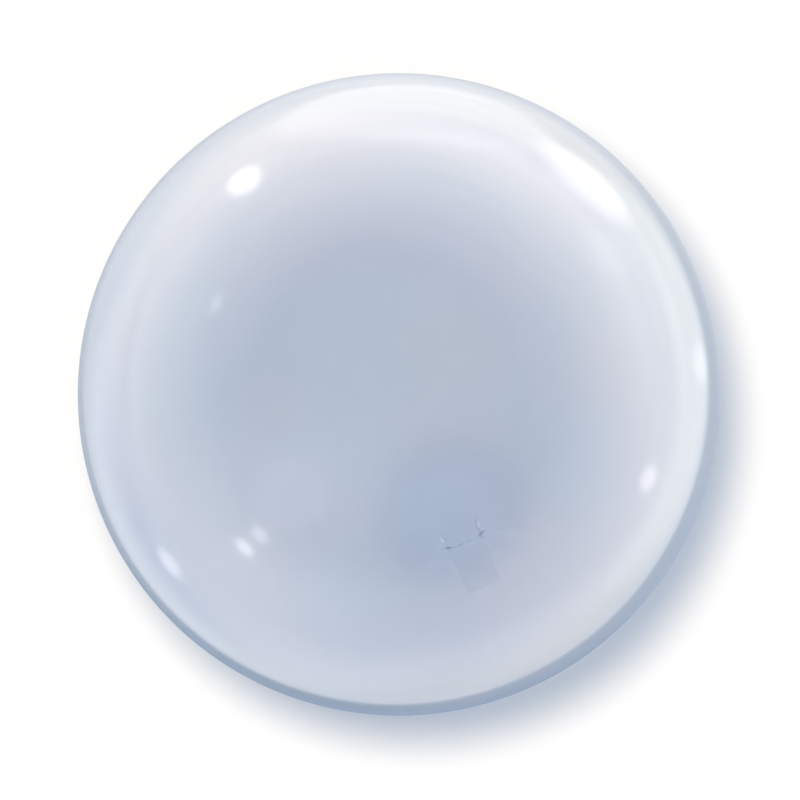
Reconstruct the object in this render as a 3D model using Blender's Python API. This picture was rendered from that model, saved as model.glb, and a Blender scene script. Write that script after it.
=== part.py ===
"""Clear bubble balloon, lying loose on a flat surface.

The envelope is one piece of clear stretch film: a round ball, a neck that the film
gathers into in pleats, and a short flat tail that is sealed at its end. It is filled
and sealed, so it is modelled as one closed solid. The ball rests on a small flat
contact spot, and the neck is underneath, where it bends over so that its tail lies
flat on the same surface.

Units are metres, +Z is up, and the origin is the middle of the contact spot.
"""

import math

import bmesh
import bpy
import numpy as np
from mathutils import Matrix

# Ball
BALL_RADIUS = 0.305
CONTACT_RADIUS = 0.030
BALL_SEGMENTS = 72
BALL_RINGS = 32

# Neck: where it leaves the ball, as angles from straight down and around +Z
NECK_TILT = math.radians(27.0)
NECK_HEADING = math.radians(-66.0)
NECK_START_DEPTH = 0.012
NECK_STRAIGHT = 0.012
NECK_WIDTH = 0.022
NECK_THICKNESS = 0.015
FUNNEL_SPREAD = 0.042
FUNNEL_LENGTH = 0.015
PLEATS = 12
PLEAT_DEPTH = 0.12

# Tail
TAIL_WIDTH = 0.034
TAIL_THICKNESS = 0.0016
TAIL_LENGTH = 0.026
TAIL_SQUARENESS = 3.0
FLAT_SHARE_OF_BEND = 0.85

# Sweep of the neck and tail
SWEEP_STATIONS = 22
SWEEP_SIDES = 60

# Film
FILM_COLOUR = (0.72, 0.80, 0.88, 1.0)
FILM_ALPHA = 0.35
FILM_ROUGHNESS = 0.05

CENTRE_HEIGHT = math.sqrt(BALL_RADIUS**2 - CONTACT_RADIUS**2)


def clear_scene():
    """Removes the objects that a new file holds."""
    for obj in list(bpy.data.objects):
        bpy.data.objects.remove(obj, do_unlink=True)


def film_material():
    """The clear, faintly blue film."""
    material = bpy.data.materials.new("clear_film")
    material.use_nodes = True
    shader = material.node_tree.nodes["Principled BSDF"]
    shader.inputs["Base Color"].default_value = FILM_COLOUR
    shader.inputs["Roughness"].default_value = FILM_ROUGHNESS
    shader.inputs["Metallic"].default_value = 0.0
    shader.inputs["Alpha"].default_value = FILM_ALPHA
    return material


def smoothstep(value):
    """0 below 0, 1 above 1, and a smooth rise between."""
    held = np.clip(value, 0.0, 1.0)
    return held * held * (3.0 - 2.0 * held)


def add_mesh(name, points, faces):
    """A new mesh object, from points and faces that use them."""
    mesh = bpy.data.meshes.new(name)
    mesh.from_pydata([tuple(point) for point in points], [], faces)
    mesh.update()
    obj = bpy.data.objects.new(name, mesh)
    bpy.context.scene.collection.objects.link(obj)
    return obj


def make_ball(name):
    """The ball, as a half outline spun around +Z: contact spot, then round to the top."""
    lowest = -math.acos(CONTACT_RADIUS / BALL_RADIUS)
    heights = np.linspace(lowest, math.pi / 2, BALL_RINGS)
    work = bmesh.new()
    outline = [work.verts.new((0.0, 0.0, 0.0))]
    for angle in heights:
        radius = BALL_RADIUS * math.cos(angle)
        height = CENTRE_HEIGHT + BALL_RADIUS * math.sin(angle)
        outline.append(work.verts.new((radius, 0.0, height)))
    outline[1].co.z = 0.0
    outline[-1].co.x = 0.0
    edges = [work.edges.new(pair) for pair in zip(outline, outline[1:])]
    bmesh.ops.spin(
        work,
        geom=outline + edges,
        axis=(0.0, 0.0, 1.0),
        cent=(0.0, 0.0, 0.0),
        angle=2.0 * math.pi,
        steps=BALL_SEGMENTS,
        use_merge=True,
    )
    bmesh.ops.remove_doubles(work, verts=work.verts[:], dist=1e-6)
    bmesh.ops.recalc_face_normals(work, faces=work.faces[:])
    mesh = bpy.data.meshes.new(name)
    work.to_mesh(mesh)
    work.free()
    obj = bpy.data.objects.new(name, mesh)
    bpy.context.scene.collection.objects.link(obj)
    return obj


def neck_path():
    """Distance along the neck, its middle line as (outward, up) points, and its slope.

    The line leaves the ball square to its surface, runs straight for NECK_STRAIGHT, bends
    in one arc until it is level, and then runs level for TAIL_LENGTH.
    """
    leave = np.array([math.sin(NECK_TILT), -math.cos(NECK_TILT)])
    on_ball = np.array([0.0, CENTRE_HEIGHT]) + BALL_RADIUS * leave
    start = on_ball - NECK_START_DEPTH * leave
    bend_start = on_ball + NECK_STRAIGHT * leave
    level = TAIL_THICKNESS / 2
    turn = math.pi / 2 - NECK_TILT
    bend_radius = (bend_start[1] - level) / (1.0 - math.cos(turn))
    straight = NECK_START_DEPTH + NECK_STRAIGHT
    arc = bend_radius * turn
    length = straight + arc + TAIL_LENGTH
    along = np.linspace(0.0, length, SWEEP_STATIONS)
    slope = -turn + np.clip(along - straight, 0.0, arc) / bend_radius
    before = start + np.minimum(along, straight)[:, None] * leave
    swept = np.stack(
        [
            bend_radius * (np.sin(slope) + math.sin(turn)),
            bend_radius * (math.cos(turn) - np.cos(slope)),
        ],
        axis=1,
    )
    after = np.maximum(along - straight - arc, 0.0)[:, None] * np.array([1.0, 0.0])
    return along, before + swept + after, slope, straight, arc


def make_neck(name):
    """The neck and tail: an oval section carried along neck_path.

    The section opens into the ball as a pleated funnel, and turns from a gathered oval
    into a thin flat strip by the time it lies level.
    """
    along, line, slope, straight, arc = neck_path()
    around = np.linspace(0.0, 2.0 * math.pi, SWEEP_SIDES, endpoint=False)
    flat_from = straight + FLAT_SHARE_OF_BEND * arc
    flatness = smoothstep((along - NECK_START_DEPTH) / (flat_from - NECK_START_DEPTH))
    funnel = FUNNEL_SPREAD * np.exp(-along / FUNNEL_LENGTH)
    half_width = (NECK_WIDTH + (TAIL_WIDTH - NECK_WIDTH) * flatness) / 2 + funnel
    half_thickness = (NECK_THICKNESS + (TAIL_THICKNESS - NECK_THICKNESS) * flatness) / 2 + funnel
    pleats = 1.0 + (PLEAT_DEPTH * (1.0 - flatness))[:, None] * np.cos(PLEATS * around)[None, :]
    sideways = half_width[:, None] * np.cos(around)[None, :] * pleats
    squareness = (1.0 + (TAIL_SQUARENESS - 1.0) * flatness)[:, None]
    profile = np.clip(squareness * np.sin(around)[None, :], -1.0, 1.0)
    across = half_thickness[:, None] * profile * pleats
    outward = line[:, :1] - np.sin(slope)[:, None] * across
    up = line[:, 1:] + np.cos(slope)[:, None] * across
    up = np.maximum(up, 0.0)
    points = np.stack([outward, sideways, up], axis=-1).reshape(-1, 3)
    faces = []
    for station in range(SWEEP_STATIONS - 1):
        for side in range(SWEEP_SIDES):
            after = (side + 1) % SWEEP_SIDES
            first = station * SWEEP_SIDES
            second = first + SWEEP_SIDES
            faces.append((first + side, first + after, second + after, second + side))
    faces.append(tuple(reversed(range(SWEEP_SIDES))))
    last = (SWEEP_STATIONS - 1) * SWEEP_SIDES
    faces.append(tuple(range(last, last + SWEEP_SIDES)))
    obj = add_mesh(name, points, faces)
    obj.data.transform(Matrix.Rotation(NECK_HEADING, 4, "Z"))
    work = bmesh.new()
    work.from_mesh(obj.data)
    bmesh.ops.recalc_face_normals(work, faces=work.faces[:])
    work.to_mesh(obj.data)
    work.free()
    return obj


def main():
    clear_scene()
    envelope = make_ball("balloon_envelope")
    neck = make_neck("neck_form")
    neck.hide_render = True
    neck.display_type = "WIRE"
    join = envelope.modifiers.new("join_neck", "BOOLEAN")
    join.operation = "UNION"
    join.solver = "EXACT"
    join.object = neck
    envelope.data.materials.append(film_material())
    envelope.data.shade_smooth()
    envelope.data.set_sharp_from_angle(angle=math.radians(40.0))


main()
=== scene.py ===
"""Finish and stage of the clear bubble balloon.

One surface, worked out as a grid, makes the round ball, the pleated neck that its film
gathers into, and the short flat tail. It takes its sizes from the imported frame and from
the named sizes below. A clear film finish, low soft lamps, a pale floor and a camera
that looks straight down make the picture.

Units are metres, +Z is up, and the origin is the middle of the ball's contact spot.
"""

import logging
import math
from dataclasses import dataclass

import bpy
import numpy as np
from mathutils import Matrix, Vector

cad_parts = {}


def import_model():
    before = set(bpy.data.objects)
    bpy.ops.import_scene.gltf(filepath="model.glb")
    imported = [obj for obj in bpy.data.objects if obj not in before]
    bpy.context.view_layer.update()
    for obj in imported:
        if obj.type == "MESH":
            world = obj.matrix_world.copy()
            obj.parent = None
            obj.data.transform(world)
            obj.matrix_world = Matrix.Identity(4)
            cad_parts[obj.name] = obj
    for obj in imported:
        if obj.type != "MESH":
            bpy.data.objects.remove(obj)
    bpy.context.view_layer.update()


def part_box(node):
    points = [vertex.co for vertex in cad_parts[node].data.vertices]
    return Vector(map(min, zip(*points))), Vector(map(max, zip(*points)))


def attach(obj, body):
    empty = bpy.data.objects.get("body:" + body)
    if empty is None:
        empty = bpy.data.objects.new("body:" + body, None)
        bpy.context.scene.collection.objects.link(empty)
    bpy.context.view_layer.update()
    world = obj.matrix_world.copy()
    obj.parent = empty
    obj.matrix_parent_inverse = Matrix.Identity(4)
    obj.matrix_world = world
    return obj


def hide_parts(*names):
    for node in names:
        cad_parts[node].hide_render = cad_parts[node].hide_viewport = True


NODE = "balloon_envelope"
PICTURE_WIDTH = 800.0
NECK_HEADING = math.radians(-66.0)

Colour = tuple[float, float, float]
Point = tuple[float, float, float]
Ends = tuple[float, float]
log = logging.getLogger("bubble_balloon")


def smoothstep(value: np.ndarray) -> np.ndarray:
    """Gives 0 below 0, 1 above 1, and a smooth rise between."""
    held = np.clip(value, 0.0, 1.0)
    return held * held * (3.0 - 2.0 * held)


def rounded_max(first: np.ndarray, second: np.ndarray, width: np.ndarray | float) -> np.ndarray:
    """Gives the larger of two values, with the corner where they cross rounded off.

    Half the sum, plus half the root of the squared gap and the squared width.

    Args:
        first: One value at each place.
        second: The other value at each place.
        width: How wide the rounding is.

    Returns:
        The rounded larger value at each place.
    """
    return 0.5 * (first + second + np.sqrt((first - second) ** 2 + width**2))


class Wire:
    """An output socket that Python expressions can add, multiply and raise to a power."""

    def __init__(self, graph: "Graph", socket: bpy.types.NodeSocket) -> None:
        """Keeps the socket and the graph that its expressions add nodes to."""
        self.graph = graph
        self.socket = socket

    def __add__(self, other: "Wire | float") -> "Wire":
        """Adds."""
        return self.graph.maths("ADD", self, other)

    def __radd__(self, other: float) -> "Wire":
        """Adds, with a number on the left."""
        return self.graph.maths("ADD", other, self)

    def __sub__(self, other: "Wire | float") -> "Wire":
        """Subtracts."""
        return self.graph.maths("SUBTRACT", self, other)

    def __rsub__(self, other: float) -> "Wire":
        """Subtracts from a number."""
        return self.graph.maths("SUBTRACT", other, self)

    def __mul__(self, other: "Wire | float") -> "Wire":
        """Multiplies."""
        return self.graph.maths("MULTIPLY", self, other)

    def __rmul__(self, other: float) -> "Wire":
        """Multiplies, with a number on the left."""
        return self.graph.maths("MULTIPLY", other, self)

    def __truediv__(self, other: "Wire | float") -> "Wire":
        """Divides."""
        return self.graph.maths("DIVIDE", self, other)

    def __rtruediv__(self, other: float) -> "Wire":
        """Divides a number."""
        return self.graph.maths("DIVIDE", other, self)

    def __pow__(self, other: float) -> "Wire":
        """Raises to a power."""
        return self.graph.maths("POWER", self, other)


class Graph:
    """A node tree that is filled by naming nodes, their settings and their inputs."""

    def __init__(self, tree: bpy.types.NodeTree) -> None:
        """Empties the tree, so that it holds only what is added here."""
        self.tree = tree
        tree.nodes.clear()

    def node(
        self, kind: str, settings: dict | None = None, inputs: dict | None = None
    ) -> bpy.types.Node:
        """Adds one node.

        Args:
            kind: The node's type, without the words ShaderNode before it.
            settings: Its properties, set first. "stops" are a ramp's (place, colour) pairs.
            inputs: A value or a Wire for each named or numbered input socket.

        Returns:
            The node.
        """
        made = self.tree.nodes.new("ShaderNode" + kind)
        for name, value in (settings or {}).items():
            if name == "stops":
                self._set_stops(made.color_ramp, value)
            else:
                setattr(made, name, value)
        for name, value in (inputs or {}).items():
            socket = made.inputs[name]
            if isinstance(value, Wire):
                self.tree.links.new(value.socket, socket)
            elif isinstance(value, bpy.types.NodeSocket):
                self.tree.links.new(value, socket)
            else:
                socket.default_value = self._fitted(value, socket)
        return made

    def read(
        self, kind: str, output: str, settings: dict | None = None, inputs: dict | None = None
    ) -> Wire:
        """Adds one node and gives one of its outputs as a Wire."""
        return Wire(self, self.node(kind, settings, inputs).outputs[output])

    def maths(self, operation: str, first: Wire | float, second: Wire | float = 0.0) -> Wire:
        """Adds a Math node for one step of an expression."""
        return self.read("Math", "Value", {"operation": operation}, {0: first, 1: second})

    def blend(self, share: Wire | float, first: Wire | Colour, second: Wire | Colour) -> Wire:
        """Mixes two colours by a share from 0 to 1."""
        made = self.node("Mix", {"data_type": "RGBA"}, {0: share, 6: first, 7: second})
        return Wire(self, made.outputs[2])

    def scaled(self, vector: Wire | Colour, length: Wire | float) -> Wire:
        """Multiplies a vector or a colour by a number."""
        return self.read("VectorMath", "Vector", {"operation": "SCALE"}, {0: vector, "Scale": length})

    def joined(self, first: Wire, second: Wire) -> Wire:
        """Adds two vectors or colours."""
        return self.read("VectorMath", "Vector", {"operation": "ADD"}, {0: first, 1: second})

    def level_part(self, vector: Wire) -> Wire:
        """Drops a vector's upright part."""
        parts = {0: vector, 1: (1.0, 1.0, 0.0)}
        return self.read("VectorMath", "Vector", {"operation": "MULTIPLY"}, parts)

    def along(self, direction: Wire, axis: Point) -> Wire:
        """Gives how far a direction points along an axis, times the axis's length."""
        return self.read("VectorMath", "Value", {"operation": "DOT_PRODUCT"}, {0: direction, 1: axis})

    def near(self, place: Wire, middle: Point, reach: Ends) -> Wire:
        """Gives 1 within the first distance of a point, and eases to 0 at the second."""
        away = self.read("VectorMath", "Value", {"operation": "DISTANCE"}, {0: place, 1: middle})
        return 1.0 - self.eased(away, reach)

    def eased(self, value: Wire, ends: Ends) -> Wire:
        """Gives 0 below the first end, 1 above the second, and a smooth rise between.

        Args:
            value: The value to ease.
            ends: Where the rise starts and ends.

        Returns:
            The eased value.
        """
        return self.read(
            "MapRange", "Result", {"interpolation_type": "SMOOTHSTEP"},
            {"Value": value, "From Min": ends[0], "From Max": ends[1]},
        )

    def noise(self, place: Wire, scale: float, detail: float) -> Wire:
        """Reads a soft noise from 0 to 1 at a place."""
        inputs = {"Vector": place, "Scale": scale, "Detail": detail}
        return self.read("TexNoise", "Fac", None, inputs)

    def mix_shaders(
        self, share: Wire | float, first: bpy.types.NodeSocket, second: bpy.types.NodeSocket
    ) -> bpy.types.NodeSocket:
        """Mixes two shaders by a share from 0 to 1."""
        return self.node("MixShader", None, {0: share, 1: first, 2: second}).outputs[0]

    @staticmethod
    def _fitted(value: object, socket: bpy.types.NodeSocket) -> object:
        """Gives a colour its fourth number where the socket has one.

        Args:
            value: What is to be put on the socket.
            socket: The socket.

        Returns:
            The value, as the socket takes it.
        """
        if isinstance(value, tuple) and len(value) == 3 and len(socket.default_value) == 4:
            return (*value, 1.0)
        return value

    @staticmethod
    def _set_stops(ramp: bpy.types.ColorRamp, stops: list[tuple[float, Colour]]) -> None:
        """Puts stops on a colour ramp.

        Args:
            ramp: The ramp.
            stops: Places from 0 to 1 in rising order, each with its colour.
        """
        while len(ramp.elements) < len(stops):
            ramp.elements.new(1.0)
        for element, (place, colour) in zip(ramp.elements, stops):
            element.position = place
            element.color = (*colour, 1.0)


def level_unit(heading: float) -> Point:
    """Gives the level direction at an angle round +Z from +X."""
    return math.cos(heading), math.sin(heading), 0.0


@dataclass(frozen=True)
class TintPatch:
    """A round patch, as seen from above, where the film's tint leans to one of its colours.

    The leaning is 1 for lavender and 0 for steel blue. The patch is full within the first
    distance from its middle, and ends at the second.
    """

    name: str
    across: float
    back: float
    reach: Ends
    leaning: float


# Where the film's tint leans one way
TINT_PATCHES = (
    TintPatch("middle right", 0.048, 0.047, (0.020, 0.080), 1.0),
    TintPatch("right of the neck", 0.148, -0.053, (0.030, 0.085), 0.0),
    TintPatch("lower middle", -0.034, -0.058, (0.010, 0.060), 0.0),
    TintPatch("far left", -0.120, -0.008, (0.010, 0.050), 1.0),
    TintPatch("upper left", -0.100, 0.068, (0.020, 0.070), 0.0),
)


@dataclass(frozen=True)
class FilmFinish:
    """Clear, glossy stretch film with a faint cool tint.

    Each layer of film lets most light straight through, mirrors a share that grows
    towards its edges as seen, and holds a trace of pale haze.
    """

    ball_radius: float
    ball_middle: Point

    # The two clear tints, the drift between them, and the patches that lean to one of them
    patches: tuple[TintPatch, ...] = TINT_PATCHES
    steel_tint: Colour = (0.856, 0.893, 0.928)
    lavender_tint: Colour = (0.876, 0.888, 0.916)
    tint_scale: float = 5.0
    tint_detail: float = 1.0
    tint_ends: Ends = (0.38, 0.62)

    # Round the neck's foot, where the film is stretched least
    neck_tint: Colour = (0.775, 0.815, 0.892)
    neck_place: Point = (0.050, -0.112, 0.030)
    neck_reach: Ends = (0.028, 0.070)
    neck_tint_reach: Ends = (0.030, 0.100)
    neck_quiet: float = 0.80

    # The neck's mouth as seen from above, and the tube and tail past it
    mouth_heading: float = NECK_HEADING
    mouth_out: float = 0.128
    mouth_half_length: float = 0.0286
    mouth_half_width: float = 0.0185
    mouth_end: Ends = (0.85, 1.15)
    tube_tint: Colour = (0.996, 0.997, 0.999)
    tube_tint_reach: Ends = (0.014, 0.019)
    tube_reach: Ends = (0.001, 0.005)
    tube_quiet: float = 0.85
    tube_mirror: float = 0.013

    # Where the film is seen edge on
    edge_tint: Colour = (0.34, 0.42, 0.54)
    edge_power: float = 14.0
    edge_share: float = 0.45

    # The mirror. Painted shade: it mirrors less on the inner side and on the rim of the lower half,
    # and its colour darkens where the film faces down, in place of the shaded floor
    head_on_mirror: float = 0.075
    inner_mirror_shade: float = 0.70
    gloss: Colour = (1.0, 1.0, 1.0)
    gloss_roughness: float = 0.12
    underside_shade_gloss: Colour = (0.34, 0.38, 0.45)
    underside_shade_from: Ends = (0.05, 0.40)
    lower_rim_shade: float = 0.80
    lower_rim_shade_from: Ends = (0.25, 0.50)
    rim_facing: Ends = (0.62, 0.92)
    ripple_scale: float = 9.0
    ripple_detail: float = 1.0
    ripple_strength: float = 0.015
    ripple_distance: float = 0.002

    # The haze, and the drift between its two colours
    haze_share: float = 0.06
    haze_growth: float = 0.10
    haze_power: float = 2.0
    haze_roughness: float = 0.6
    lavender_haze: Colour = (0.80, 0.79, 0.93)
    steel_haze: Colour = (0.68, 0.80, 0.88)
    haze_scale: float = 3.2
    haze_detail: float = 2.0
    haze_ends: Ends = (0.35, 0.65)

    def make(self) -> bpy.types.Material:
        """Builds the film's material.

        Returns:
            The material, for one sheet of film with no thickness of its own.
        """
        material = bpy.data.materials.new("clear_film")
        material.use_nodes = True
        graph = Graph(material.node_tree)
        place = graph.read("TexCoord", "Object")
        facing = graph.read("LayerWeight", "Facing", None, {"Blend": 0.5})
        downward = graph.along(graph.read("NewGeometry", "Normal"), (0.0, 0.0, -1.0))
        near_neck = graph.near(place, self.neck_place, self.neck_reach)
        on_tube = self._past_ball(graph, place, self.tube_reach)
        loudness = (1.0 - self.neck_quiet * near_neck) * (1.0 - self.tube_quiet * on_tube)
        clear = self._clear(graph, place, loudness * self.edge_share * facing**self.edge_power)
        haze_share = loudness * (self.haze_share + self.haze_growth * facing**self.haze_power)
        hazy = graph.mix_shaders(haze_share, clear, self._haze(graph, place))
        mirror_share = loudness * (1.0 - on_tube) * self._mirror_share(graph, facing, downward)
        mirror_share = mirror_share + self.tube_mirror * on_tube
        film = graph.mix_shaders(mirror_share, hazy, self._mirror(graph, place, downward))
        graph.node("OutputMaterial", None, {"Surface": film})
        return material

    def _mirror_share(self, graph: Graph, facing: Wire, downward: Wire) -> Wire:
        """The share that both faces of one film mirror.

        One face mirrors the head-on share plus the rest times the fifth power of facing.
        Light that bounces between the two faces makes it twice that, over one plus that.
        The inner side keeps only part of its share, and so does the rim of the ball's lower half:
        painted shade, in place of the shaded floor that they would mirror.

        Args:
            graph: The material's nodes.
            facing: 0 where the film is seen head on, 1 where it is seen edge on.
            downward: How far the film faces down, from -1 to 1.

        Returns:
            The share.
        """
        one_face = self.head_on_mirror + (1.0 - self.head_on_mirror) * facing**5.0
        # Painted shade: the inner side and the rim of the lower half mirror less, in place of the
        # shaded floor
        inside = graph.read("NewGeometry", "Backfacing")
        shaded_lower_rim = graph.eased(facing, self.rim_facing) * graph.eased(downward, self.lower_rim_shade_from)
        share = 2.0 * one_face / (1.0 + one_face) * (1.0 - self.inner_mirror_shade * inside)
        return share * (1.0 - self.lower_rim_shade * shaded_lower_rim)

    def _clear(self, graph: Graph, place: Wire, edge_share: Wire) -> bpy.types.NodeSocket:
        """What lets light straight through, as a mix of sheets that each have one plain tint.

        The tint drifts slowly over the ball. It is deeper round the neck, where the film is
        stretched least, faint on the tail, and deeper where the film is seen edge on.

        Args:
            graph: The material's nodes.
            place: The place on the film.
            edge_share: The share of the deeper tint where the film is seen edge on.

        Returns:
            The shader.
        """
        drift = graph.noise(place, self.tint_scale, self.tint_detail)
        share = graph.eased(drift, self.tint_ends)
        flat = graph.level_part(place)
        for patch in self.patches:
            near = graph.near(flat, (patch.across, patch.back, 0.0), patch.reach)
            share = share + near * (patch.leaning - share)
        tints = (self.steel_tint, self.lavender_tint, self.neck_tint, self.tube_tint, self.edge_tint)
        steel, lavender, neck, tube, edge = (
            graph.node("BsdfTransparent", None, {"Color": tint}).outputs[0] for tint in tints
        )
        near_neck = graph.near(place, self.neck_place, self.neck_tint_reach)
        past_mouth = self._past_mouth(graph, place)
        past_mouth = past_mouth * self._past_ball(graph, place, self.tube_tint_reach)
        body = graph.mix_shaders(share, steel, lavender)
        body = graph.mix_shaders(near_neck, body, neck)
        body = graph.mix_shaders(past_mouth, body, tube)
        return graph.mix_shaders(edge_share, body, edge)

    def _past_mouth(self, graph: Graph, place: Wire) -> Wire:
        """Gives 0 within the outline of the neck's mouth, as seen from above, and 1 outside it.

        The distances out from the mouth's middle and to the side of it, each over its half
        size and to the sixth power, add up to 1 on the outline.

        Args:
            graph: The material's nodes.
            place: The place on the film.

        Returns:
            The share.
        """
        outward = graph.along(place, level_unit(self.mouth_heading))
        sideways = graph.along(place, level_unit(self.mouth_heading + math.pi / 2))
        length = (outward - self.mouth_out) / self.mouth_half_length
        width = sideways / self.mouth_half_width
        edge = (length * length) ** 3.0 + (width * width) ** 3.0
        return graph.eased(edge, self.mouth_end)

    def _past_ball(self, graph: Graph, place: Wire, reach: Ends) -> Wire:
        """Gives 0 on the ball, and 1 on the neck and tail, which lie outside its sphere.

        Args:
            graph: The material's nodes.
            place: The place on the film.
            reach: The distances from the sphere where the rise starts and ends.

        Returns:
            The share.
        """
        ends = (self.ball_radius + reach[0], self.ball_radius + reach[1])
        return 1.0 - graph.near(place, self.ball_middle, ends)

    def _haze(self, graph: Graph, place: Wire) -> bpy.types.NodeSocket:
        """The trace of haze, whose colour drifts slowly between lavender and steel blue.

        Args:
            graph: The material's nodes.
            place: The place on the film.

        Returns:
            The shader.
        """
        drift = graph.noise(place, self.haze_scale, self.haze_detail)
        colour = graph.blend(graph.eased(drift, self.haze_ends), self.steel_haze, self.lavender_haze)
        inputs = {"Base Color": colour, "Roughness": self.haze_roughness}
        return graph.node("BsdfPrincipled", None, inputs).outputs[0]

    def _mirror(self, graph: Graph, place: Wire, downward: Wire) -> bpy.types.NodeSocket:
        """The gloss, with a slight slow ripple.

        Where the film faces down its colour is darker, a painted shade that stands in for the dim
        floor it would mirror.

        Args:
            graph: The material's nodes.
            place: The place on the film.
            downward: How far the film faces down, from -1 to 1.

        Returns:
            The shader.
        """
        # Painted shade: the mirror's colour darkens where the film faces down
        low = graph.eased(downward, self.underside_shade_from)
        ripple = graph.noise(place, self.ripple_scale, self.ripple_detail)
        bump = graph.read(
            "Bump", "Normal", None,
            {"Strength": self.ripple_strength, "Distance": self.ripple_distance, "Height": ripple},
        )
        mirror = graph.node(
            "BsdfPrincipled", None,
            {
                "Base Color": graph.blend(low, self.gloss, self.underside_shade_gloss),
                "Metallic": 1.0,
                "Roughness": self.gloss_roughness,
                "Normal": bump,
            },
        )
        return mirror.outputs[0]


@dataclass(frozen=True)
class NeckSizes:
    """The neck and tail: where they leave the ball, and their widths along their length."""

    tilt: float = math.radians(27.0)
    heading: float = NECK_HEADING
    start_depth: float = 0.012
    straight: float = 0.012
    width: float = 0.022
    thickness: float = 0.015
    funnel_spread: float = 0.042
    funnel_length: float = 0.015
    tail_width: float = 0.034
    tail_thickness: float = 0.0016
    tail_length: float = 0.026
    tail_squareness: float = 3.0
    flat_share_of_bend: float = 0.85
    pleats: int = 12
    pleat_depth: float = 0.12
    fine_fold: float = 0.35
    fine_fold_turn: float = 1.3
    finest_fold: float = 0.20
    finest_fold_turn: float = 0.6
    folds_short: int = 5
    fillet: float = 0.010
    fillet_reach: float = 0.020
    seal_length: float = 0.006
    seal_step: float = 0.002
    seal_thinning: float = 0.5

    @property
    def turn(self) -> float:
        """The angle that the neck bends through to lie level."""
        return math.pi / 2 - self.tilt


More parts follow.
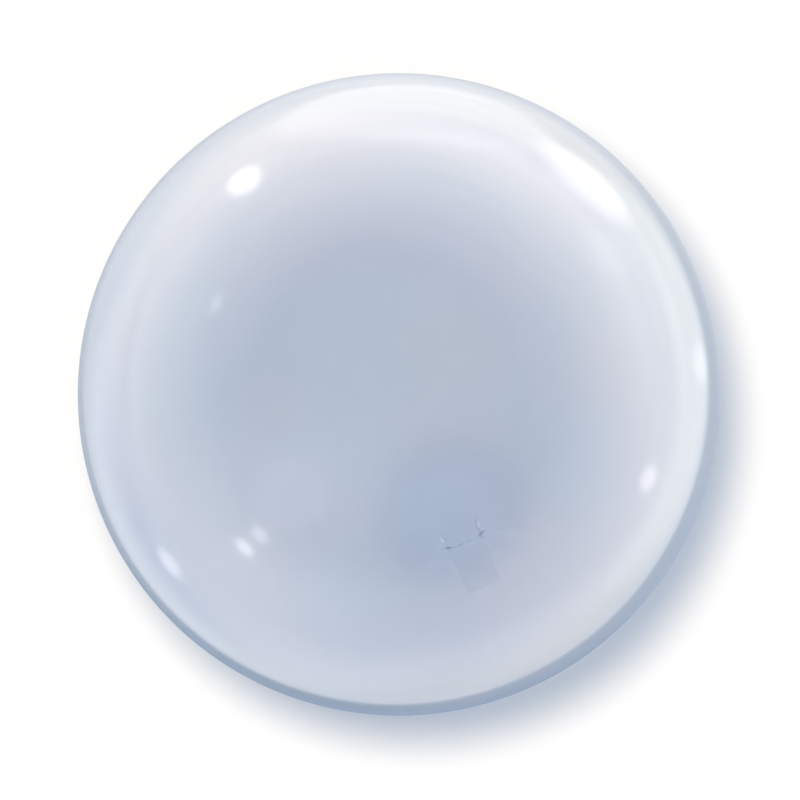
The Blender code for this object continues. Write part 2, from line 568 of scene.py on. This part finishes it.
@dataclass(frozen=True)
class Envelope:
    """The whole film envelope as one closed surface: ball, neck and tail.

    A ring of film is carried along one line. The line starts at the ball's far side, runs
    through its middle and out of the neck, bends until it is level, and ends at the sealed
    tail. Each ring has a half width, a half thickness and a squareness of its own.
    """

    ball_radius: float
    centre_height: float
    neck: NeckSizes = NeckSizes()
    sides: int = 288
    ball_rings: int = 210
    neck_rings: int = 110
    line_samples: int = 4000
    ball_share: float = 0.0035
    contact_rounding: float = 0.0008
    pleat_lift: float = 0.0010
    pleat_reach: float = 0.030
    pleat_end: float = 0.120
    pleat_depth_inside: float = 0.020

    def _line(self, out: np.ndarray) -> tuple[np.ndarray, np.ndarray, np.ndarray]:
        """Places the rings' middles, for distances out from the ball's surface.

        A straight run square to the ball, one arc down to level, and a level run.

        Args:
            out: Distance from where the line crosses the ball's surface, below 0 inside it.

        Returns:
            How far outward and how far up each middle is, and the line's slope there.
        """
        neck = self.neck
        leave = (math.sin(neck.tilt), -math.cos(neck.tilt))
        start_out = self.ball_radius * leave[0]
        start_up = self.centre_height + self.ball_radius * leave[1]
        arc = self.bend_radius * neck.turn
        run = np.minimum(out, neck.straight)
        slope = -neck.turn + np.clip(out - neck.straight, 0.0, arc) / self.bend_radius
        level = np.maximum(out - neck.straight - arc, 0.0)
        outward = start_out + run * leave[0] + level
        outward = outward + self.bend_radius * (np.sin(slope) + math.sin(neck.turn))
        up = start_up + run * leave[1]
        up = up + self.bend_radius * (math.cos(neck.turn) - np.cos(slope))
        return outward, up, slope

    @property
    def bend_radius(self) -> float:
        """The radius that brings the neck level just above the floor.

        Returns:
            The radius of the arc that the neck's middle line follows.
        """
        neck = self.neck
        drop = (self.ball_radius + neck.straight) * math.cos(neck.tilt)
        height = self.centre_height - drop - neck.tail_thickness / 2
        return height / (1.0 - math.cos(neck.turn))

    @property
    def neck_length(self) -> float:
        """From the ball's surface to the end of the tail, along the line."""
        return self.neck.straight + self.bend_radius * self.neck.turn + self.neck.tail_length

    def _flatness(self, out: np.ndarray) -> np.ndarray:
        """From 0 where the neck is a gathered oval to 1 where it is a flat strip.

        Args:
            out: Distance from the ball's surface along the line.

        Returns:
            The share of flatness at each distance.
        """
        neck = self.neck
        flat_from = neck.straight + neck.flat_share_of_bend * self.bend_radius * neck.turn
        return smoothstep(out / flat_from)

    def _neck_half(self, out: np.ndarray, start: float, end: float) -> np.ndarray:
        """Half the neck's width or thickness: its own size, plus the funnel into the ball.

        The funnel falls off as an exponential of the distance out, and fades to nothing a
        little way inside the ball, where the ball's own radius takes over.

        Args:
            out: Distance from the ball's surface along the line.
            start: The neck's whole size where it leaves the ball.
            end: The tail's whole size.

        Returns:
            The half size at each distance.
        """
        neck = self.neck
        own = (start + (end - start) * self._flatness(out)) / 2
        inside = np.maximum(out + neck.start_depth, 0.0)
        funnel = neck.funnel_spread * np.exp(-inside / neck.funnel_length)
        fade = smoothstep((out + neck.start_depth + neck.fillet_reach) / neck.fillet_reach)
        return (own + funnel) * fade

    def _stations(self) -> np.ndarray:
        """The distance out of each ring: evenly spaced round the ball, then along the neck.

        Along the neck the spacing is even in the distance travelled over the film, which
        counts both the way out and the change in width.

        Returns:
            One distance for each ring, from the ball's far side to the end of the tail.
        """
        least_angle = math.acos(1.0 - self.ball_share / self.ball_radius)
        angles = np.linspace(math.pi, least_angle, self.ball_rings, endpoint=False)
        on_ball = self.ball_radius * (np.cos(angles) - 1.0)
        dense = np.linspace(-self.ball_share, self.neck_length, self.line_samples)
        half = self._half_sizes(dense)[0]
        travelled = np.concatenate([[0.0], np.cumsum(np.hypot(np.diff(dense), np.diff(half)))])
        even = np.linspace(0.0, travelled[-1], self.neck_rings)
        return np.concatenate([on_ball, np.interp(even, travelled, dense)])

    def _half_sizes(self, out: np.ndarray) -> tuple[np.ndarray, np.ndarray]:
        """Half width and half thickness of each ring, the ball's and the neck's joined smoothly.

        The ball's half size is the root of its squared radius less the squared distance from
        its middle. The last stretch of the tail is thinner, where it is sealed.

        Args:
            out: Distance from the ball's surface along the line.

        Returns:
            The half widths and the half thicknesses.
        """
        neck = self.neck
        along_axis = np.clip(self.ball_radius + out, -self.ball_radius, self.ball_radius)
        ball = np.sqrt(self.ball_radius**2 - along_axis**2)
        reach = neck.start_depth + neck.fillet_reach
        rounding = neck.fillet * smoothstep((out + reach) / reach)
        rounding = rounding * (1.0 - smoothstep(out / neck.funnel_length))
        wide = rounded_max(ball, self._neck_half(out, neck.width, neck.tail_width), rounding)
        neck_thick = self._neck_half(out, neck.thickness, neck.tail_thickness)
        thick = rounded_max(ball, neck_thick, rounding)
        sealed = smoothstep((out - self.neck_length + neck.seal_length) / neck.seal_step)
        return wide, thick * (1.0 - neck.seal_thinning * sealed)

    def _grid(self) -> np.ndarray:
        """The surface's points, as rings by sides by three.

        Around each ring, the sideways place is the half width times the cosine of the angle,
        and the other is the half thickness times the sine, cut off at a flat top and bottom
        as the ring becomes a strip. Pleats scale the ring near the neck and lift the film
        round its foot. The lift is an exponential of less the square of the ring's extra
        width over the pleats' reach. Along the neck it falls off as an exponential of the
        distance out, and it ends at a set width and a set distance inside the ball.

        Returns:
            The points.
        """
        out = self._stations()
        outward, up, slope = self._line(out)
        wide, thick = self._half_sizes(out)
        flatness = self._flatness(out)
        around = np.linspace(0.0, 2.0 * math.pi, self.sides, endpoint=False)
        folds = self._folds(around)[None, :]
        near = smoothstep((out + self.neck.start_depth) / self.neck.start_depth)
        depth = (self.neck.pleat_depth * near * (1.0 - flatness))[:, None]
        squareness = (1.0 + (self.neck.tail_squareness - 1.0) * flatness)[:, None]
        section = np.clip(squareness * np.sin(around)[None, :], -1.0, 1.0)
        sideways = wide[:, None] * np.cos(around)[None, :] * (1.0 + depth * folds)
        across = thick[:, None] * section * (1.0 + depth * folds)
        foot = self.pleat_lift * np.exp(-((wide - self.neck.width) / self.pleat_reach) ** 2)
        foot = np.where(out < 0.0, foot, foot * np.exp(-out / self.neck.straight))
        lifted = (wide < self.pleat_end) & (out > -self.pleat_depth_inside)
        lift = (foot * lifted)[:, None] * folds
        radial = outward[:, None] - np.sin(slope)[:, None] * across + np.cos(slope)[:, None] * lift
        height = up[:, None] + np.cos(slope)[:, None] * across + np.sin(slope)[:, None] * lift
        height = rounded_max(height, np.zeros_like(height), self.contact_rounding)
        cosine, sine = math.cos(self.neck.heading), math.sin(self.neck.heading)
        return np.stack(
            [radial * cosine - sideways * sine, radial * sine + sideways * cosine, height], axis=-1
        )

    def _folds(self, around: np.ndarray) -> np.ndarray:
        """The pleats round the neck: one main wave and two finer ones, from -1 to 1.

        The finer ones have two and three times as many folds, less a few, so that they don't
        line up with the main one, and each is turned by an angle.

        Args:
            around: Angles round the neck.

        Returns:
            The height of the folds at each angle.
        """
        neck = self.neck
        main = np.cos(neck.pleats * around)
        fine = np.cos((2 * neck.pleats - neck.folds_short) * around + neck.fine_fold_turn)
        finest = np.cos((3 * neck.pleats - neck.folds_short) * around + neck.finest_fold_turn)
        whole = 1.0 + neck.fine_fold + neck.finest_fold
        return (main + neck.fine_fold * fine + neck.finest_fold * finest) / whole

    def make(self) -> bpy.types.Object:
        """Builds the envelope's object.

        Returns:
            The object, with its place in its mesh and its faces pointing out.
        """
        grid = self._grid()
        rings = len(grid)
        first_pole = grid[0].mean(axis=0)
        last_pole = grid[-1].mean(axis=0)
        body = grid[1:]
        points = np.concatenate([body.reshape(-1, 3), [first_pole, last_pole]])
        index = np.arange((rings - 1) * self.sides).reshape(rings - 1, self.sides)
        turned = np.roll(index, -1, axis=1)
        quads = np.stack([index[:-1], turned[:-1], turned[1:], index[1:]], axis=-1).reshape(-1, 4)
        start_fan = np.stack([np.full(self.sides, len(points) - 2), turned[0], index[0]], axis=-1)
        end_fan = np.stack([np.full(self.sides, len(points) - 1), index[-1], turned[-1]], axis=-1)
        faces = quads.tolist() + start_fan.tolist() + end_fan.tolist()
        mesh = bpy.data.meshes.new("film_envelope")
        mesh.from_pydata(points.tolist(), [], faces)
        mesh.update()
        mesh.shade_smooth()
        made = bpy.data.objects.new("film_envelope", mesh)
        bpy.context.scene.collection.objects.link(made)
        return made


@dataclass(frozen=True)
class SoftBox:
    """One soft-edged bright oval in the surroundings, which only the film mirrors.

    Angles are in degrees. The heading is round +Z from +X, and the height is above the
    horizon, so that one below the horizon shows in the outer part of the ball.
    """

    name: str
    heading: float
    height: float
    half_width: float
    half_height: float
    brightness: float
    softness: float = 0.45
    colour: Colour = (1.0, 1.0, 1.0)

    def light(self, graph: Graph, direction: Wire) -> Wire:
        """Works out the box's light in a direction.

        The squared distance from the oval's middle is the sum of the squares of the parts
        across and up it, each over its half size. The brightness eases to 0 over the edge.

        Args:
            graph: The world's nodes.
            direction: The direction that is looked along.

        Returns:
            The light's colour, times its brightness.
        """
        heading, height = math.radians(self.heading), math.radians(self.height)
        middle = Vector((
            math.cos(height) * math.cos(heading),
            math.cos(height) * math.sin(heading),
            math.sin(height),
        ))
        across = Vector((-math.sin(heading), math.cos(heading), 0.0))
        upward = middle.cross(across)
        half_width = math.sin(math.radians(self.half_width))
        half_height = math.sin(math.radians(self.half_height))
        sideways = graph.along(direction, tuple(across / half_width))
        tall = graph.along(direction, tuple(upward / half_height))
        inside = graph.read(
            "MapRange", "Result", {"interpolation_type": "SMOOTHSTEP"},
            {
                "Value": sideways * sideways + tall * tall,
                "From Min": (1.0 - self.softness) ** 2,
                "From Max": (1.0 + self.softness) ** 2,
                "To Min": self.brightness,
                "To Max": 0.0,
            },
        )
        ahead = graph.maths("GREATER_THAN", graph.along(direction, tuple(middle)), 0.0)
        return graph.scaled(self.colour, inside * ahead)


LAMP_WHITE: Colour = (1.0, 0.97, 0.92)

# The lamps, windows and glows that show on the film
SOFT_BOXES = (
    SoftBox("top window", 86.0, -36.0, 23.0, 22.0, 0.42, 0.12),
    SoftBox("upper left lamp", 125.9, -19.4, 3.3, 6.3, 2.4, 0.45, LAMP_WHITE),
    SoftBox("upper right strip", 48.5, -33.6, 8.5, 10.5, 1.05, 0.40, LAMP_WHITE),
    SoftBox("upper right echo", 34.0, -12.5, 4.9, 7.5, 0.25, 0.50),
    SoftBox("right lamp", -18.6, -19.4, 2.5, 4.2, 1.45, 0.45, LAMP_WHITE),
    SoftBox("lower left lamp", 216.3, -34.2, 2.7, 4.2, 1.10, 0.40, LAMP_WHITE),
    SoftBox("left inner lamp", 224.8, 5.2, 2.6, 2.4, 2.5, 0.40, LAMP_WHITE),
    SoftBox("left inner glint", 225.2, 14.6, 2.5, 2.5, 1.6, 0.40, LAMP_WHITE),
    SoftBox("far left glint", 153.6, 11.7, 2.2, 1.8, 1.2, 0.45),
    SoftBox("right edge strip", 5.9, -49.8, 2.1, 6.8, 0.40, 0.45),
    SoftBox("warm patch", 222.5, 36.0, 11.5, 14.5, 0.24, 0.30, (1.0, 0.80, 0.95)),
    SoftBox("left glow", 230.0, 24.0, 24.0, 32.0, 0.32, 0.80),
    SoftBox("left low glow", 214.0, -42.0, 30.0, 14.5, 0.42, 0.80),
    SoftBox("far left low glow", 152.0, -45.0, 26.0, 12.0, 0.12, 0.80),
    SoftBox("right low glow", 8.0, -43.0, 27.0, 10.5, 0.46, 0.80),
    SoftBox("upper right glow", 47.0, -34.0, 22.0, 14.0, 0.12, 0.80),
    SoftBox("top rim glow", 84.0, -64.0, 16.0, 9.0, 0.10, 0.80),
    SoftBox("lower glow", 252.0, -12.0, 20.0, 22.0, 0.16, 0.80, (1.0, 0.80, 0.65)),
)

# Between no step and one step of a light path
FIRST_STEP = 0.5

# The room that the film mirrors: its colour by angle above the horizon, on each side
BRIGHT_SIDE = (
    (-90.0, (0.70, 0.73, 0.79)),
    (-63.5, (0.80, 0.82, 0.86)),
    (-61.7, (0.98, 1.00, 1.01)),
    (-46.0, (1.55, 1.44, 1.22)),
    (-38.0, (2.14, 1.98, 1.66)),
    (-22.0, (2.84, 2.55, 2.32)),
    (-14.0, (3.20, 2.88, 2.60)),
    (5.0, (2.00, 1.88, 1.77)),
    (27.0, (1.03, 0.97, 1.14)),
    (42.0, (0.55, 0.50, 0.68)),
    (90.0, (0.38, 0.50, 0.67)),
)
DARK_SIDE = (
    (-90.0, (0.28, 0.37, 0.51)),
    (-63.5, (0.18, 0.26, 0.38)),
    (-61.7, (0.63, 0.67, 0.78)),
    (-54.0, (0.55, 0.61, 0.71)),
    (-46.0, (0.42, 0.48, 0.64)),
    (-38.0, (0.28, 0.34, 0.60)),
    (-22.0, (0.36, 0.38, 0.58)),
    (5.0, (0.30, 0.31, 0.46)),
    (27.0, (0.06, 0.10, 0.22)),
    (90.0, (0.38, 0.50, 0.67)),
)

# How far the bright side has turned from its low heading to its high one, by the same angle
TURN_TO_HIGH = (
    (-90.0, 0.90),
    (-63.5, 0.90),
    (-61.7, 0.00),
    (-48.0, 0.07),
    (-38.0, 0.34),
    (-28.0, 0.66),
    (-18.0, 0.95),
    (-8.0, 1.00),
)


def by_height(side: tuple[tuple[float, Colour], ...]) -> list[tuple[float, Colour]]:
    """Turns each angle above the horizon into a ramp's place: half of one plus its sine."""
    return [(0.5 + 0.5 * math.sin(math.radians(angle)), colour) for angle, colour in side]


@dataclass(frozen=True)
class Studio:
    """The pale floor, the light and what the film mirrors."""

    floor_colour: Colour = (0.864, 0.864, 0.864)
    floor_half: float = 120.0
    floor_drop: float = 0.0006
    key_strength: float = 3.26
    key_colour: Colour = (1.0, 0.902, 0.731)
    key_soft_angle: float = math.radians(9.5)
    key_height_angle: float = math.radians(84.0)
    key_direction: float = math.radians(125.0)
    key_distance: float = 3.0
    fill: Colour = (0.130, 0.234, 0.420)
    backdrop: Colour = (1.0, 1.0, 1.0)
    mirror_tilt: float = math.radians(6.7)
    mirror_heading: float = math.radians(142.0)
    low_bright_heading: float = math.radians(8.0)
    high_bright_heading: float = math.radians(87.0)
    soft_boxes: tuple[SoftBox, ...] = SOFT_BOXES
    streak_strength: float = 0.40
    streak_height: float = 24.0
    streak_length: float = 1.2
    streak_detail: float = 2.0

    def make_floor(self) -> bpy.types.Object:
        """The floor: one large pale quad just under the contact spot.

        Returns:
            The floor's object.
        """
        half = self.floor_half
        corners = [(-half, -half), (half, -half), (half, half), (-half, half)]
        mesh = bpy.data.meshes.new("floor")
        mesh.from_pydata([(x, y, -self.floor_drop) for x, y in corners], [], [(0, 1, 2, 3)])
        mesh.update()
        material = bpy.data.materials.new("pale_floor")
        material.use_nodes = True
        graph = Graph(material.node_tree)
        matt = graph.node(
            "BsdfPrincipled", None,
            {"Base Color": self.floor_colour, "Roughness": 1.0, "Specular IOR Level": 0.0},
        )
        graph.node("OutputMaterial", None, {"Surface": matt.outputs[0]})
        mesh.materials.append(material)
        floor = bpy.data.objects.new("floor", mesh)
        bpy.context.scene.collection.objects.link(floor)
        floor.visible_glossy = False
        return floor

    def make_key(self) -> bpy.types.Object:
        """The main light: far, soft and nearly overhead, from the upper left.

        Returns:
            The light's object.
        """
        data = bpy.data.lights.new("key", "SUN")
        data.energy = self.key_strength
        data.color = self.key_colour
        data.angle = self.key_soft_angle
        key = bpy.data.objects.new("key", data)
        level = math.cos(self.key_height_angle)
        source = Vector((
            level * math.cos(self.key_direction),
            level * math.sin(self.key_direction),
            math.sin(self.key_height_angle),
        ))
        key.rotation_mode = "QUATERNION"
        key.rotation_quaternion = (-source).to_track_quat("-Z", "Y")
        key.location = source * self.key_distance
        bpy.context.scene.collection.objects.link(key)
        key.visible_camera = False
        key.visible_glossy = False
        return key

    def make_world(self) -> bpy.types.World:
        """The surroundings: an even fill, a white backdrop, and what the film mirrors.

        Returns:
            The world.
        """
        world = bpy.data.worlds.new("studio")
        world.use_nodes = True
        graph = Graph(world.node_tree)
        paths = graph.node("LightPath")
        seen = Wire(graph, paths.outputs["Is Camera Ray"])
        glossy = Wire(graph, paths.outputs["Is Glossy Ray"])
        diffuse_depth = Wire(graph, paths.outputs["Diffuse Depth"])
        transparent_depth = Wire(graph, paths.outputs["Transparent Depth"])
        direct = graph.maths("LESS_THAN", diffuse_depth, FIRST_STEP)
        outside = graph.maths("LESS_THAN", transparent_depth, FIRST_STEP)
        open_side = graph.blend(seen, self.fill, self.backdrop)
        around = graph.node("Background", None, {"Color": open_side})
        mirrored = graph.node("Background", None, {"Color": self._mirrored_room(graph, outside)})
        light = graph.mix_shaders(glossy * direct, around.outputs[0], mirrored.outputs[0])
        graph.node("OutputWorld", None, {"Surface": light})
        bpy.context.scene.world = world
        return world

    def _mirrored_room(self, graph: Graph, outside: Wire) -> Wire:
        """What the film mirrors, by direction, from a bright side and a dark side.

        Each side has a brightness by height above the horizon, and the height is measured
        from a line that leans a little. Between the two sides it changes with how far the
        direction points to the bright side. Faint level streaks run through it. The soft
        boxes show only on the outer side of the film.

        Args:
            graph: The world's nodes.
            outside: 1 for what the film's outer side mirrors, 0 for its inner side.

        Returns:
            The colour that is mirrored.
        """
        direction = graph.read("TexCoord", "Generated")
        lean = math.sin(self.mirror_tilt)
        upright = (
            lean * math.cos(self.mirror_heading),
            lean * math.sin(self.mirror_heading),
            math.cos(self.mirror_tilt),
        )
        upness = graph.along(direction, upright)
        place = 0.5 + 0.5 * upness
        bright = graph.read("ValToRGB", "Color", {"stops": by_height(BRIGHT_SIDE)}, {"Fac": place})
        dark = graph.read("ValToRGB", "Color", {"stops": by_height(DARK_SIDE)}, {"Fac": place})
        flat = graph.level_part(direction)
        level = graph.read("VectorMath", "Vector", {"operation": "NORMALIZE"}, {0: flat})
        low = graph.along(level, level_unit(self.low_bright_heading))
        high = graph.along(level, level_unit(self.high_bright_heading))
        greys = tuple((angle, (share, share, share)) for angle, share in TURN_TO_HIGH)
        turned = graph.read("ValToRGB", "Color", {"stops": by_height(greys)}, {"Fac": place})
        side = 0.5 + 0.5 * (low + turned * (high - low))
        room = graph.blend(side, dark, bright)
        room = graph.scaled(room, self._streaks(graph, level, upness))
        boxes = [box.light(graph, direction) for box in self.soft_boxes]
        glow = boxes[0]
        for box in boxes[1:]:
            glow = graph.joined(glow, box)
        return graph.joined(room, graph.scaled(glow, outside))

    def _streaks(self, graph: Graph, level: Wire, upness: Wire) -> Wire:
        """A factor about 1 from a noise that is long round the room and short in height.

        Args:
            graph: The world's nodes.
            level: The direction's level part, at length 1.
            upness: How far the direction points up, from -1 to 1.

        Returns:
            The factor.
        """
        stretched = graph.joined(
            graph.scaled(level, self.streak_length),
            graph.scaled((0.0, 0.0, 1.0), self.streak_height * upness),
        )
        noise = graph.noise(stretched, 1.0, self.streak_detail)
        return 1.0 + self.streak_strength * (noise - 0.5)


@dataclass(frozen=True)
class LookingDown:
    """The camera, straight above the ball, with a long lens.

    In the photograph the ball's outline is a circle whose middle and radius are the pixel
    values below, in its 800 by 800 frame.
    """

    lens: float = 1000.0
    sensor: float = 36.0
    circle_x: float = 399.0
    circle_y: float = 394.4
    circle_radius: float = 321.2
    clip_start: float = 0.1
    clip_end_share: float = 10.0

    def make(self, radius: float, middle: Vector) -> bpy.types.Object:
        """Adds the camera where the ball's outline falls on the measured circle.

        The outline's half angle has the tangent that the circle's radius needs, and the
        ball's radius over the camera's distance is that angle's sine.

        Args:
            radius: The ball's radius.
            middle: The ball's middle.

        Returns:
            The camera's object.
        """
        data = bpy.data.cameras.new("camera")
        data.lens = self.lens
        data.sensor_width = self.sensor
        half_picture = PICTURE_WIDTH / 2
        tangent = self.circle_radius / half_picture * (self.sensor / 2) / self.lens
        distance = radius / math.sin(math.atan(tangent))
        size_of_pixel = distance * (self.sensor / self.lens) / PICTURE_WIDTH
        camera = bpy.data.objects.new("camera", data)
        camera.location = (
            middle.x + (half_picture - self.circle_x) * size_of_pixel,
            middle.y - (half_picture - self.circle_y) * size_of_pixel,
            middle.z + distance,
        )
        data.clip_start = self.clip_start
        data.clip_end = self.clip_end_share * distance
        bpy.context.scene.collection.objects.link(camera)
        bpy.context.scene.camera = camera
        return camera


def main() -> None:
    """Builds the envelope around the frame, then the stage."""
    logging.basicConfig(level=logging.INFO, format="%(message)s")
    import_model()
    lowest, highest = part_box(NODE)
    radius = (highest.x - lowest.x) / 2
    middle = Vector((0.0, 0.0, highest.z - radius))

    envelope = Envelope(radius, middle.z).make()
    envelope.data.materials.append(FilmFinish(radius, tuple(middle)).make())
    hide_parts(NODE)
    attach(envelope, "root")
    log.info("%s: %d faces", envelope.name, len(envelope.data.polygons))

    studio = Studio()
    studio.make_floor()
    studio.make_key()
    studio.make_world()
    LookingDown().make(radius, middle)
    bpy.context.scene.view_settings.view_transform = "Standard"

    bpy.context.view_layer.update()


if __name__ == "__main__":
    main()
